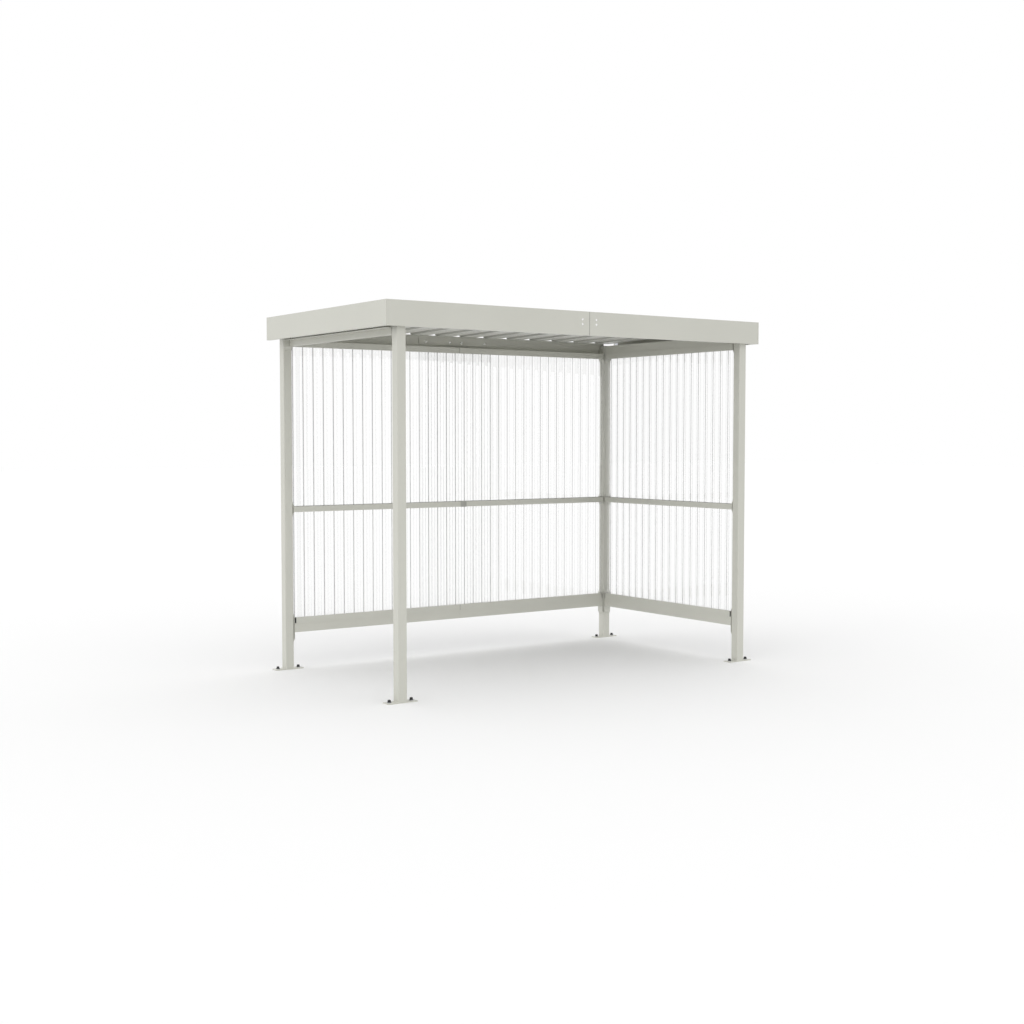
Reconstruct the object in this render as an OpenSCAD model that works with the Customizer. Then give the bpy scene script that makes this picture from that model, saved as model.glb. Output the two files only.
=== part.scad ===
// Smoking shelter: an open frame of four square posts under a flat roof.
// The long back side and the short right side are closed with clear ribbed sheets.
// Millimetres. X runs along the long side, Y to the back, Z up.
// The ground is Z = 0 and the roof outline is centred on the origin.

/* [Roof outline] */
// Length of the roof along the long side
roof_length = 2956; // [2400:1:3600]
// Depth of the roof from front to back
roof_depth = 1582; // [1300:1:2000]
// Height of the top edge of the boards above the ground
total_height = 2350; // [2200:1:2600]
// Height of the edge boards on the front and on the two sides
fascia_height = 150; // [120:1:200]
// Height of the lower board along the back
back_fascia_height = 83; // [70:1:110]
// Width of the folded edges of the boards
fascia_return = 28; // [15:1:40]
// Sheet thickness of the folded boards
fascia_sheet = 2; // [1:0.5:4]
// Thickness of the back board
back_fascia_sheet = 3; // [2:0.5:5]
// Distance the back board stops short of the outer faces of the posts
back_board_short = 20; // [0:1:25]
// Distance the side boards stand past the face of the front board
front_proud = 2; // [1:1:5]
// Distance the side boards stand past the face of the back board
back_proud = 4; // [1:1:8]
// Gap where two boards or two rails meet end to end
joint_gap = 0.8; // [0.2:0.1:0.9]

/* [Posts] */
// Outside width of the square posts
post_size = 60; // [40:1:100]
// Wall thickness of the posts
post_wall = 3; // [2:0.5:6]
// Outside radius of the corners of the posts
post_corner = 5; // [4:0.5:10]
// Distance from the roof edge to the posts on the left and right sides
side_overhang = 88; // [60:1:120]

/* [Base plates] */
// Length of a base plate along the long side
plate_length = 200; // [160:1:260]
// Width of a base plate
plate_width = 65; // [60:1:100]
// Thickness of a base plate
plate_thickness = 6; // [4:1:12]
// Distance between the two anchor holes of a plate
bolt_spacing = 150; // [120:1:180]
// Diameter of the anchor holes
bolt_hole = 14; // [10:1:18]

/* [Rails] */
// Height of the box part of every rail
rail_height = 40; // [30:1:60]
// Depth of the box part of every rail
rail_depth = 20; // [15:1:30]
// Sheet thickness of the rails
rail_sheet = 2; // [1.5:0.5:3]
// Height of the flat edge of the wide rails
flange_height = 60; // [40:1:80]
// Step between the face of the box part and the flat edge
flange_step = 4; // [1:0.5:6]
// Height of the underside of the lowest box part above the ground
bottom_rail_level = 307; // [200:1:500]
// Height of the underside of the middle rail above the ground
mid_rail_level = 1057; // [800:1:1400]
// Distance the box part of a wide rail stops short of its flat edge
rail_notch = 10; // [5:1:20]
// Width of the ledge along the outside of the two side beams
ledge_width = 60; // [20:1:70]

/* [Rail straps] */
// Distance from the post to the outer face of a strap
strap_stand = 9; // [6:1:15]
// Thickness of a strap
strap_sheet = 3; // [2:0.5:5]
// Length of the sloping end of a strap
strap_taper = 20; // [12:1:30]
// Length a strap reaches past the box part of a rail
strap_over = 23; // [15:1:30]
// Length a strap reaches past the flat edge of a wide rail
strap_flange_over = 62; // [30:1:80]
// Distance from the edge of a strap to the edge of the post face
strap_edge_gap = 2; // [0:1:6]
// Distance from the top of a post to the straps of the top beams
strap_top_gap = 2; // [1:1:10]

/* [Wall sheets] */
// Distance from rib to rib of the wall sheets
wall_pitch = 76; // [60:1:100]
// Depth of the ribs of the wall sheets
wall_rib_depth = 20; // [12:1:25]
// Width of the flat that lies on the rails
wall_inner_flat = 22; // [15:1:35]
// Width of the flat on the outside
wall_outer_flat = 22; // [15:1:35]
// Thickness of the wall sheets
wall_sheet = 1; // [0.8:0.1:2]
// Number of ribs that overlap where the two back sheets meet
overlap_ribs = 8; // [1:1:10]
// Sideways place of the ribs of the back sheets
back_rib_shift = 39; // [0:1:76]
// Place of the ribs of the right sheet, towards the front
side_rib_shift = 39; // [0:1:76]
// Clear space between the overlapping sheets
overlap_clear = 0.2; // [0.1:0.05:0.5]
// Space from the straps to the side edges of the sheets
wall_side_gap = 1; // [0.5:0.5:5]
// Height of the lower edge of the sheets above the lower edge of the bottom rail
wall_low_step = 6; // [2:1:20]
// Distance from the top edge of the sheets to the top of the top rail
wall_high_step = 5; // [2:1:20]

/* [Roof sheets] */
// Distance from rib to rib of the roof sheets
deck_pitch = 207; // [150:1:280]
// Height of the ribs of the roof sheets
deck_rib = 20; // [12:1:35]
// Width of the top of a rib
deck_crest = 60; // [40:1:100]
// Sideways run of the sloping side of a rib
deck_flank = 12; // [6:1:30]
// Thickness of the roof sheets
deck_sheet = 1; // [0.7:0.1:2]
// Fall of the roof towards the back, in mm for every metre
deck_fall = 22; // [5:1:40]
// Sideways place of the middle rib
deck_shift = 0; // [-60:1:60]
// Height of the back board above the hollows of the roof sheets
deck_drop = 2.5; // [2:0.5:15]
// Leg length of the angles that carry the front ends of the roof sheets
angle_leg = 25; // [15:1:30]
// Width of the flat leg of the angle along the back
back_angle_leg = 40; // [20:1:50]
// Thickness of the angles that carry the roof sheets
angle_sheet = 2; // [1.5:0.5:4]
// Height of the standing leg of the angle along the back
back_angle_drop = 19; // [15:1:25]
// Space at the edges of the roof sheets
deck_edge_gap = 2; // [1:0.5:5]
// Space between the angles and the roof sheets that lie on them
deck_seat = 0.2; // [0.1:0.05:0.5]

/* [Board joints] */
// Half length of the plate behind the joint of the front boards
front_splice_half = 80; // [60:1:150]
// Half length of the plate behind the joint of the back boards
back_splice_half = 310; // [270:1:400]
// Thickness of the joint plates
splice_sheet = 3; // [2:0.5:5]
// Distance from the roof sheets down to the joint plate of the front boards
front_splice_drop = 3; // [1:1:10]
// Height of the joint plate of the front boards
front_splice_height = 90; // [60:1:120]
// Height of the joint plate of the back boards
back_splice_height = 61; // [40:1:70]
// Width of the brackets that hold the side boards
bracket_width = 38; // [25:1:55]
// Height of the standing leg of the brackets above the post tops
bracket_height = 34; // [20:1:50]
// Thickness of the brackets
bracket_sheet = 4; // [3:0.5:6]
// Distance from the inner face of a post to the end of the bracket that lies on it
bracket_short = 5; // [1:1:30]

/* [Hidden] */
half_length = roof_length / 2;
front_edge = -roof_depth / 2;
back_edge = roof_depth / 2;
fascia_low = total_height - fascia_height;

// posts: outer faces of the four posts
post_x_out = half_length - side_overhang;
post_x_in = post_x_out - post_size;
front_face = front_edge + front_proud;
back_face = back_edge - back_proud;
post_y_front = front_face + fascia_return;
post_y_back = back_face - back_fascia_sheet;
post_y_front_in = post_y_front + post_size;
post_y_back_in = post_y_back - post_size;
post_x_mid = post_x_out - post_size / 2;
post_y_front_mid = post_y_front + post_size / 2;
post_y_back_mid = post_y_back - post_size / 2;

// roof sheets: the lowest line lies on the back angle
back_fascia_top = fascia_low + back_fascia_height;
deck_back_level = back_fascia_top - deck_drop;
deck_back_y = post_y_back - deck_edge_gap;
deck_front_y = front_face + fascia_sheet + deck_edge_gap;
deck_slope = deck_fall / 1000;
deck_tilt = atan(deck_slope);
deck_half = half_length - fascia_sheet - bracket_sheet - deck_edge_gap;
lap_left = -2;
lap_right = 3;
deck_front_level = deck_back_level + deck_slope * (deck_back_y - deck_front_y);
post_top = fascia_low + flange_height;

// straps and rails: levels of the box parts
strap_width = post_size - 2 * strap_edge_gap;
top_rail_level = fascia_low - rail_height;
rail_x_end = post_x_in - strap_stand;
rail_y_front = post_y_front_in + strap_stand;
rail_y_back = post_y_back_in - strap_stand;

// wall sheets
wall_flank = (wall_pitch - wall_inner_flat - wall_outer_flat) / 2;
wall_angle = atan(wall_rib_depth / wall_flank);
wall_bend = wall_sheet * tan(wall_angle / 2);
wall_nest = (wall_sheet + overlap_clear) / cos(wall_angle);
wall_low = bottom_rail_level - flange_height + wall_low_step;
wall_high = top_rail_level + rail_height - wall_high_step;
wall_back_half = rail_x_end - wall_side_gap;
wall_overlap_half = overlap_ribs * wall_pitch / 2;

paint = [0.80, 0.80, 0.76];
clear = [0.85, 0.90, 0.92, 0.35];
roof_coat = [0.78, 0.78, 0.74];
zinc = [0.70, 0.71, 0.72];

// ---- posts and base plates ----

// square with rounded corners
module rounded_square(size, radius) {
    flat = size - 2 * radius;
    square([size, flat], center = true);
    square([flat, size], center = true);
    for (x = [-1, 1], y = [-1, 1])
        translate([x * flat / 2, y * flat / 2])
            circle(r = radius, $fn = 48);
}

// square tube standing on its base plate, open at the top under the roof
module post(x, y) {
    translate([x, y, plate_thickness])
    linear_extrude(height = post_top - plate_thickness)
    difference() {
        rounded_square(post_size, post_corner);
        rounded_square(post_size - 2 * post_wall, post_corner - post_wall);
    }
}

// flat plate with one anchor hole on each side of the post
module base_plate(x, y) {
    translate([x, y, 0])
    difference() {
        translate([-plate_length / 2, -plate_width / 2, 0])
            cube([plate_length, plate_width, plate_thickness]);
        for (side = [-1, 1])
            translate([side * bolt_spacing / 2, 0, -1])
                cylinder(d = bolt_hole, h = plate_thickness + 2, $fn = 48);
    }
}

// ---- straps that join the rails to the posts ----

// bent strap standing off the face of a post; its foot lies at x = 0 and it reaches towards +X
module strap(low, high) {
    inner = strap_stand - strap_sheet;
    rotate([90, 0, 0])
    translate([0, 0, -strap_width / 2])
    linear_extrude(height = strap_width)
    polygon([
        [0, low],
        [strap_stand, low + strap_taper],
        [strap_stand, high - strap_taper],
        [0, high],
        [0, high - strap_sheet * 2],
        [inner, high - strap_taper - strap_sheet / 2],
        [inner, low + strap_taper + strap_sheet / 2],
        [0, low + strap_sheet * 2]
    ]);
}

// strap for a rail that is only a box part
module narrow_strap(level) {
    strap(level - strap_over, level + rail_height + strap_over);
}

// strap for the wide bottom rail, with its flat edge below the box part
module bottom_strap() {
    strap(bottom_rail_level - flange_height - strap_flange_over,
          bottom_rail_level + rail_height + strap_over);
}

// strap for a wide beam under the roof, with its flat edge above the box part
module beam_strap() {
    strap(top_rail_level - strap_over, post_top - strap_top_gap);
}

// ---- rails ----

// box part with open ends, from x = 0 to x = length, its inner face at y = 0
module rail_box(length, level) {
    translate([0, 0, level])
    difference() {
        cube([length, rail_depth, rail_height]);
        translate([-1, rail_sheet, rail_sheet])
            cube([length + 2, rail_depth - 2 * rail_sheet, rail_height - 2 * rail_sheet]);
    }
}

// flat edge of a wide rail, set back from the face of the box part
module rail_flange(length, low) {
    translate([0, flange_step, low])
        cube([length, rail_sheet, flange_height + rail_sheet]);
}

// wide rail with the flat edge below; the box part is cut back at the ends marked with 1
module wide_rail(length, level, cut_start, cut_end) {
    union() {
        translate([cut_start * rail_notch, 0, 0])
            rail_box(length - (cut_start + cut_end) * rail_notch, level);
        rail_flange(length, level - flange_height);
    }
}

// flat ledge on the outside of a box part, level with its top
module rail_ledge(length, level, width) {
    translate([0, rail_depth - rail_sheet, level + rail_height - rail_sheet])
        cube([length, width + rail_sheet, rail_sheet]);
}

// wide beam with the flat edge above and a ledge on the outside
module wide_beam(length, level) {
    box_length = length - 2 * rail_notch;
    union() {
        translate([rail_notch, 0, 0]) {
            rail_box(box_length, level);
            rail_ledge(box_length, level, ledge_width);
        }
        rail_flange(length, level + rail_height - rail_sheet);
    }
}

// top rail of the back wall, with a ledge that reaches under the back board
module back_beam(length, level) {
    union() {
        rail_box(length, level);
        rail_ledge(length, level, post_size - rail_depth + back_fascia_sheet);
    }
}

// places a rail along the back wall, starting at x
module along_back(x) {
    translate([x, post_y_back_in, 0])
        children();
}

// places a rail along the right wall, from the back post to the front post
module along_right() {
    translate([post_x_in, rail_y_back, 0])
    rotate([0, 0, -90])
        children();
}

// places a rail along the left side, from the front post to the back post
module along_left() {
    translate([-post_x_in, rail_y_front, 0])
    rotate([0, 0, 90])
        children();
}

// ---- edge boards ----

// folded board seen from its end: web on the outside and two edges turned inwards
module fascia_returns(length) {
    for (level = [0, fascia_height - fascia_sheet])
        translate([0, fascia_sheet, level])
            cube([length, fascia_return - fascia_sheet, fascia_sheet]);
}

// half of the front board, side = -1 for the left half and 1 for the right half
module front_fascia(side) {
    web_end = half_length - fascia_sheet;
    fold_end = half_length - fascia_return;
    start = joint_gap / 2;
    translate([0, front_face, fascia_low])
    mirror([side < 0 ? 1 : 0, 0, 0])
    union() {
        translate([start, 0, 0])
            cube([web_end - start, fascia_sheet, fascia_height]);
        translate([start, 0, 0])
            fascia_returns(fold_end - start);
    }
}

// board of one side; it covers the end of the front board
module side_fascia(side) {
    translate([side * half_length, 0, fascia_low])
    mirror([side > 0 ? 1 : 0, 0, 0])
    union() {
        translate([0, front_edge, 0])
            cube([fascia_sheet, roof_depth, fascia_height]);
        for (level = [0, fascia_height - fascia_sheet])
            translate([fascia_sheet, front_face + fascia_sheet, level])
                cube([fascia_return - fascia_sheet, back_edge - front_face - fascia_sheet, fascia_sheet]);
    }
}

// half of the low back board, flat against the posts
module back_fascia(side) {
    start = joint_gap / 2;
    mirror([side < 0 ? 1 : 0, 0, 0])
    translate([start, post_y_back, fascia_low])
        cube([post_x_out - back_board_short - start, back_fascia_sheet, back_fascia_height]);
}

// plate between the two front angles, flat against the front boards
module front_splice() {
    translate([-front_splice_half, front_face + fascia_sheet,
               deck_front_level - front_splice_drop - front_splice_height])
        cube([2 * front_splice_half, splice_sheet, front_splice_height]);
}

// plate that lies over the standing leg of the back angle, close under its flat leg
module back_splice() {
    high = deck_back_level - deck_seat - angle_sheet;
    translate([-back_splice_half, post_y_back - angle_sheet - splice_sheet, high - back_splice_height])
        cube([2 * back_splice_half, splice_sheet, back_splice_height]);
}

// angle bracket that lies on the top of a post and stands against the side board
module fascia_bracket(side, y) {
    reach = post_size - bracket_short + side_overhang - fascia_sheet;
    translate([side * (post_x_in + bracket_short), y, post_top])
    mirror([side < 0 ? 1 : 0, 0, 0])
    translate([0, bracket_width / 2, 0])
    rotate([90, 0, 0])
    linear_extrude(height = bracket_width)
    polygon([
        [0, 0],
        [reach, 0],
        [reach, bracket_height],
        [reach - bracket_sheet, bracket_height],
        [reach - bracket_sheet, bracket_sheet],
        [0, bracket_sheet]
    ]);
}

// ---- roof sheets ----

flank_angle = atan(deck_rib / deck_flank);
deck_bend = deck_sheet * tan(flank_angle / 2);

function rib_centre(k) = deck_shift + k * deck_pitch;

// under line of one rib, from left foot to right foot
function rib_under(k) = [
    [rib_centre(k) - deck_crest / 2 - deck_flank, 0],
    [rib_centre(k) - deck_crest / 2, deck_rib],
    [rib_centre(k) + deck_crest / 2, deck_rib],
    [rib_centre(k) + deck_crest / 2 + deck_flank, 0]
];

// upper line of one rib, from right foot to left foot
function rib_over(k) = [
    [rib_centre(k) + deck_crest / 2 + deck_flank + deck_bend, deck_sheet],
    [rib_centre(k) + deck_crest / 2 + deck_bend, deck_rib + deck_sheet],
    [rib_centre(k) - deck_crest / 2 - deck_bend, deck_rib + deck_sheet],
    [rib_centre(k) - deck_crest / 2 - deck_flank - deck_bend, deck_sheet]
];

// end of a sheet on the top of the rib it shares with the next sheet
function shared_end(k) = [
    [rib_centre(k) - deck_crest / 2 - deck_flank, 0],
    [rib_centre(k) - deck_crest / 2, deck_rib],
    [rib_centre(k) + deck_crest / 2, deck_rib],
    [rib_centre(k) + deck_crest / 2, deck_rib + deck_sheet],
    [rib_centre(k) - deck_crest / 2 - deck_bend, deck_rib + deck_sheet],
    [rib_centre(k) - deck_crest / 2 - deck_flank - deck_bend, deck_sheet]
];

// start of a sheet that laps over the top of the rib it shares with the sheet before it
lap_level = deck_rib + deck_sheet + deck_seat;

function lap_under(k) = [
    [rib_centre(k) - deck_crest / 2, lap_level],
    [rib_centre(k) + deck_crest / 2 + deck_seat, lap_level],
    [rib_centre(k) + deck_crest / 2 + deck_flank + deck_sheet, 0]
];

function lap_over(k) = [
    [rib_centre(k) + deck_crest / 2 + deck_flank + deck_sheet + deck_bend, deck_sheet],
    [rib_centre(k) + deck_crest / 2 + deck_seat + deck_bend, lap_level + deck_sheet],
    [rib_centre(k) - deck_crest / 2, lap_level + deck_sheet]
];

// lays a cross section along the fall of the roof, cut to the width between the side boards
module deck_run() {
    run = (deck_back_y - deck_front_y) / cos(deck_tilt);
    translate([0, deck_back_y, deck_back_level])
    rotate([90 - deck_tilt, 0, 0])
    linear_extrude(height = run)
    intersection() {
        children();
        translate([-deck_half, -deck_rib])
            square([2 * deck_half, 4 * deck_rib]);
    }
}

// left sheet: from the left edge to the top of the first shared rib
module roof_left() {
    first = floor((-deck_half - deck_shift) / deck_pitch);
    deck_run()
    polygon(concat(
        [for (k = [first : lap_left - 1]) each rib_under(k)],
        shared_end(lap_left),
        [for (k = [lap_left - 1 : -1 : first]) each rib_over(k)]
    ));
}

// middle sheet: between the two shared ribs
module roof_middle() {
    deck_run()
    polygon(concat(
        lap_under(lap_left),
        [for (k = [lap_left + 1 : lap_right - 1]) each rib_under(k)],
        shared_end(lap_right),
        [for (k = [lap_right - 1 : -1 : lap_left + 1]) each rib_over(k)],
        lap_over(lap_left)
    ));
}

// right sheet: from the second shared rib to the right edge
module roof_right() {
    last = ceil((deck_half - deck_shift) / deck_pitch);
    deck_run()
    polygon(concat(
        lap_under(lap_right),
        [for (k = [lap_right + 1 : last]) each rib_under(k)],
        [for (k = [last : -1 : lap_right + 1]) each rib_over(k)],
        lap_over(lap_right)
    ));
}

// angle whose flat leg carries the sheets, from x = start to x = stop
module front_angle(start, stop) {
    inner_edge = front_face + fascia_sheet + angle_leg;
    high = deck_back_level + deck_slope * (deck_back_y - inner_edge) - deck_seat;
    union() {
        translate([start, front_face + fascia_sheet, high - angle_sheet])
            cube([stop - start, angle_leg, angle_sheet]);
        translate([start, front_face + fascia_sheet, high - angle_leg])
            cube([stop - start, angle_sheet, angle_leg]);
    }
}

module back_angle() {
    reach = post_x_in - deck_edge_gap;
    high = deck_back_level - deck_seat;
    union() {
        translate([-reach, post_y_back - back_angle_leg, high - angle_sheet])
            cube([2 * reach, back_angle_leg, angle_sheet]);
        translate([-reach, post_y_back - angle_sheet, high - back_angle_drop])
            cube([2 * reach, angle_sheet, back_angle_drop]);
    }
}

// ---- wall sheets ----

// inner line and outer line of the ribs between two places; the inner flats lie on y = 0
function wall_inner(c) = [
    [c - wall_inner_flat / 2, 0],
    [c + wall_inner_flat / 2, 0],
    [c + wall_inner_flat / 2 + wall_flank, wall_rib_depth],
    [c + wall_inner_flat / 2 + wall_flank + wall_outer_flat, wall_rib_depth]
];

function wall_outer(c) = [
    [c + wall_inner_flat / 2 + wall_flank + wall_outer_flat + wall_bend, wall_rib_depth + wall_sheet],
    [c + wall_inner_flat / 2 + wall_flank - wall_bend, wall_rib_depth + wall_sheet],
    [c + wall_inner_flat / 2 - wall_bend, wall_sheet],
    [c - wall_inner_flat / 2 + wall_bend, wall_sheet]
];

// standing sheet of whole ribs; first and last are the numbers of its inner flats
module ribbed_sheet(first, last, centre, left_edge, right_edge) {
    translate([0, 0, wall_low])
    linear_extrude(height = wall_high - wall_low)
    intersection() {
        polygon(concat(
            [for (k = [first : last]) each wall_inner(centre + k * wall_pitch)],
            [for (k = [last : -1 : first]) each wall_outer(centre + k * wall_pitch)]
        ));
        translate([left_edge, -wall_sheet])
            square([right_edge - left_edge, wall_rib_depth + 3 * wall_sheet]);
    }
}

module back_sheet(left_edge, right_edge, set_back) {
    first = floor((left_edge - back_rib_shift) / wall_pitch) - 1;
    last = ceil((right_edge - back_rib_shift) / wall_pitch) + 1;
    translate([0, post_y_back_in + rail_depth + set_back, 0])
        ribbed_sheet(first, last, back_rib_shift, left_edge, right_edge);
}

module side_sheet() {
    y_mid = (post_y_front_in + post_y_back_in) / 2;
    half = (rail_y_back - rail_y_front) / 2 - wall_side_gap;
    count = ceil(half / wall_pitch) + 1;
    translate([post_x_in + rail_depth, y_mid, 0])
    rotate([0, 0, -90])
        ribbed_sheet(-count, count, side_rib_shift, -half, half);
}

// ---- named pieces ----

module back_left_post() { color(paint) post(-post_x_mid, post_y_back_mid); }
module back_right_post() { color(paint) post(post_x_mid, post_y_back_mid); }
module front_left_post() { color(paint) post(-post_x_mid, post_y_front_mid); }
module front_right_post() { color(paint) post(post_x_mid, post_y_front_mid); }

module back_left_base_plate() { color(paint) base_plate(-post_x_mid, post_y_back_mid); }
module back_right_base_plate() { color(paint) base_plate(post_x_mid, post_y_back_mid); }
module front_left_base_plate() { color(paint) base_plate(-post_x_mid, post_y_front_mid); }
module front_right_base_plate() { color(paint) base_plate(post_x_mid, post_y_front_mid); }

module back_wall_straps() {
    translate([-post_x_in, post_y_back_mid, 0]) {
        bottom_strap();
        narrow_strap(mid_rail_level);
        narrow_strap(top_rail_level);
    }
}

module back_left_rail_straps() {
    color(paint) {
        back_wall_straps();
        translate([-post_x_mid, post_y_back_in, 0])
            rotate([0, 0, -90])
                beam_strap();
    }
}

module back_right_rail_straps() {
    color(paint) {
        mirror([1, 0, 0])
            back_wall_straps();
        translate([post_x_mid, post_y_back_in, 0])
            rotate([0, 0, -90]) {
                bottom_strap();
                narrow_strap(mid_rail_level);
                beam_strap();
            }
    }
}

module front_left_rail_strap() {
    color(paint)
        translate([-post_x_mid, post_y_front_in, 0])
            rotate([0, 0, 90])
                beam_strap();
}

module front_right_rail_straps() {
    color(paint)
        translate([post_x_mid, post_y_front_in, 0])
            rotate([0, 0, 90]) {
                bottom_strap();
                narrow_strap(mid_rail_level);
                beam_strap();
            }
}

back_half_rail = rail_x_end - joint_gap / 2;
side_rail = rail_y_back - rail_y_front;

module back_bottom_rail_left() {
    color(paint) along_back(-rail_x_end) wide_rail(back_half_rail, bottom_rail_level, 1, 0);
}
module back_bottom_rail_right() {
    color(paint) along_back(joint_gap / 2) wide_rail(back_half_rail, bottom_rail_level, 0, 1);
}
module back_mid_rail_left() {
    color(paint) along_back(-rail_x_end) rail_box(back_half_rail, mid_rail_level);
}
module back_mid_rail_right() {
    color(paint) along_back(joint_gap / 2) rail_box(back_half_rail, mid_rail_level);
}
module back_top_rail_left() {
    color(paint) along_back(-rail_x_end) back_beam(back_half_rail, top_rail_level);
}
module back_top_rail_right() {
    color(paint) along_back(joint_gap / 2) back_beam(back_half_rail, top_rail_level);
}
module right_bottom_rail() {
    color(paint) along_right() wide_rail(side_rail, bottom_rail_level, 1, 1);
}
module right_mid_rail() { color(paint) along_right() rail_box(side_rail, mid_rail_level); }
module right_top_beam() { color(paint) along_right() wide_beam(side_rail, top_rail_level); }
module left_top_beam() { color(paint) along_left() wide_beam(side_rail, top_rail_level); }

module front_fascia_left() { color(paint) front_fascia(-1); }
module front_fascia_right() { color(paint) front_fascia(1); }
module front_fascia_splice() { color(paint) front_splice(); }
module back_fascia_left() { color(paint) back_fascia(-1); }
module back_fascia_right() { color(paint) back_fascia(1); }
module back_fascia_splice() { color(paint) back_splice(); }
module left_fascia() { color(paint) side_fascia(-1); }
module right_fascia() { color(paint) side_fascia(1); }

module left_fascia_brackets() {
    color(zinc)
        for (y = [post_y_front_mid, post_y_back_mid])
            fascia_bracket(-1, y);
}
module right_fascia_brackets() {
    color(zinc)
        for (y = [post_y_front_mid, post_y_back_mid])
            fascia_bracket(1, y);
}

module roof_sheet_left() { color(roof_coat) roof_left(); }
module roof_sheet_middle() { color(roof_coat) roof_middle(); }
module roof_sheet_right() { color(roof_coat) roof_right(); }

module front_deck_angles() {
    near = front_splice_half + deck_edge_gap;
    far = half_length - fascia_return - deck_edge_gap;
    color(paint) {
        front_angle(-far, -near);
        front_angle(near, far);
    }
}
module back_deck_angle() { color(paint) back_angle(); }

module back_wall_sheet_left() {
    color(clear) back_sheet(-wall_back_half, wall_overlap_half, 0);
}
module back_wall_sheet_right() {
    color(clear) back_sheet(-wall_overlap_half, wall_back_half, wall_nest);
}
module right_wall_sheet() { color(clear) side_sheet(); }

back_left_post();
back_right_post();
front_left_post();
front_right_post();
back_left_base_plate();
back_right_base_plate();
front_left_base_plate();
front_right_base_plate();
back_left_rail_straps();
back_right_rail_straps();
front_left_rail_strap();
front_right_rail_straps();
back_bottom_rail_left();
back_bottom_rail_right();
back_mid_rail_left();
back_mid_rail_right();
back_top_rail_left();
back_top_rail_right();
right_bottom_rail();
right_mid_rail();
right_top_beam();
left_top_beam();
front_fascia_left();
front_fascia_right();
front_fascia_splice();
back_fascia_left();
back_fascia_right();
back_fascia_splice();
left_fascia();
right_fascia();
left_fascia_brackets();
right_fascia_brackets();
roof_sheet_left();
roof_sheet_middle();
roof_sheet_right();
front_deck_angles();
back_deck_angle();
back_wall_sheet_left();
back_wall_sheet_right();
right_wall_sheet();
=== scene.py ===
import bpy
import bmesh
import math
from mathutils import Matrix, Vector


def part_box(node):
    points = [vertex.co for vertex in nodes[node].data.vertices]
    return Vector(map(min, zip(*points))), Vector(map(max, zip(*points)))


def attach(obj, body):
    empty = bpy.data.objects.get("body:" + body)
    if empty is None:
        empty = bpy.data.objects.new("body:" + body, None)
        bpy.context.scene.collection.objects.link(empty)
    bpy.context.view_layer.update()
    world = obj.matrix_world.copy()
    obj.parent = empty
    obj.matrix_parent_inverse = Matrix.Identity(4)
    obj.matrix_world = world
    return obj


# a smoking shelter: four square posts, a flat ribbed roof behind edge boards,
# clear ribbed sheets on the back and on the right; metres throughout

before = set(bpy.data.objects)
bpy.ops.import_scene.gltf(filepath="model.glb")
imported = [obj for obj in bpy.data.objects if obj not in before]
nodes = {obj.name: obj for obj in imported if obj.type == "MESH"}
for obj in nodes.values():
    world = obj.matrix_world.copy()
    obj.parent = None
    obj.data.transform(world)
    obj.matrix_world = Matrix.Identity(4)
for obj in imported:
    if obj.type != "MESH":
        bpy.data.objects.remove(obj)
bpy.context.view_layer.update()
print("frame loaded:", len(nodes), "nodes")

cameraSetup = {
    "place": (-5.587, -7.924, 1.5596),
    "turn": 34.96,  # degrees from +Y towards +X
    "tilt": 3.01,  # degrees down
    "lens": 50.1,
    "sensor": 36.0,
    "nearest": 0.1,
    "farthest": 200.0,
}


def makeCamera(setup):
    data = bpy.data.cameras.new("camera")
    data.lens = setup["lens"]
    data.sensor_width = setup["sensor"]
    data.clip_start = setup["nearest"]
    data.clip_end = setup["farthest"]
    camera = bpy.data.objects.new("camera", data)
    bpy.context.scene.collection.objects.link(camera)
    camera.location = setup["place"]
    camera.rotation_euler = (math.radians(90.0 - setup["tilt"]), 0.0, math.radians(-setup["turn"]))
    bpy.context.scene.camera = camera


makeCamera(cameraSetup)
print("camera placed")


def newMaterial(name):
    material = bpy.data.materials.new(name)
    material.use_nodes = True
    tree = material.node_tree
    shader = next(n for n in tree.nodes if n.type == "BSDF_PRINCIPLED")
    return material, tree, shader


def addNode(tree, kind, inputs=None, **settings):
    # settings are the node's own choices, inputs are the numbers on its sockets
    node = tree.nodes.new(kind)
    for key, value in settings.items():
        setattr(node, key, value)
    for key, value in (inputs or {}).items():
        node.inputs[key].default_value = value
    return node


def link(tree, fromNode, output, toNode, socket):
    tree.links.new(fromNode.outputs[output], toNode.inputs[socket])


def grey(level):
    return (level, level, level)


def stretchedPlace(tree, scale):
    # object coordinates, drawn out along one direction
    place = addNode(tree, "ShaderNodeTexCoord")
    stretch = addNode(tree, "ShaderNodeMapping", inputs={"Scale": scale})
    link(tree, place, "Object", stretch, "Vector")
    return stretch


def mathNode(tree, operation, *values):
    # each value is a number or a (node, output) pair
    node = addNode(tree, "ShaderNodeMath", operation=operation)
    for socket, value in enumerate(values):
        if isinstance(value, tuple):
            link(tree, *value, node, socket)
        else:
            node.inputs[socket].default_value = value
    return node, "Value"


def noiseFrom(tree, source, output, scale, detail):
    # detail is the number of finer layers on top of the first
    noise = addNode(tree, "ShaderNodeTexNoise", inputs={"Scale": scale, "Detail": detail})
    link(tree, source, output, noise, "Vector")
    return noise


noiseSpan = (0.3, 0.7)  # nearly all of a noise lies between these


def spreadTo(tree, source, output, low, high, shader, socket):
    # a noise value turned into a range round the wanted number
    spread = addNode(tree, "ShaderNodeMapRange", inputs={
        "From Min": noiseSpan[0], "From Max": noiseSpan[1], "To Min": low, "To Max": high})
    link(tree, source, output, spread, "Value")
    link(tree, spread, "Result", shader, socket)


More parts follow.
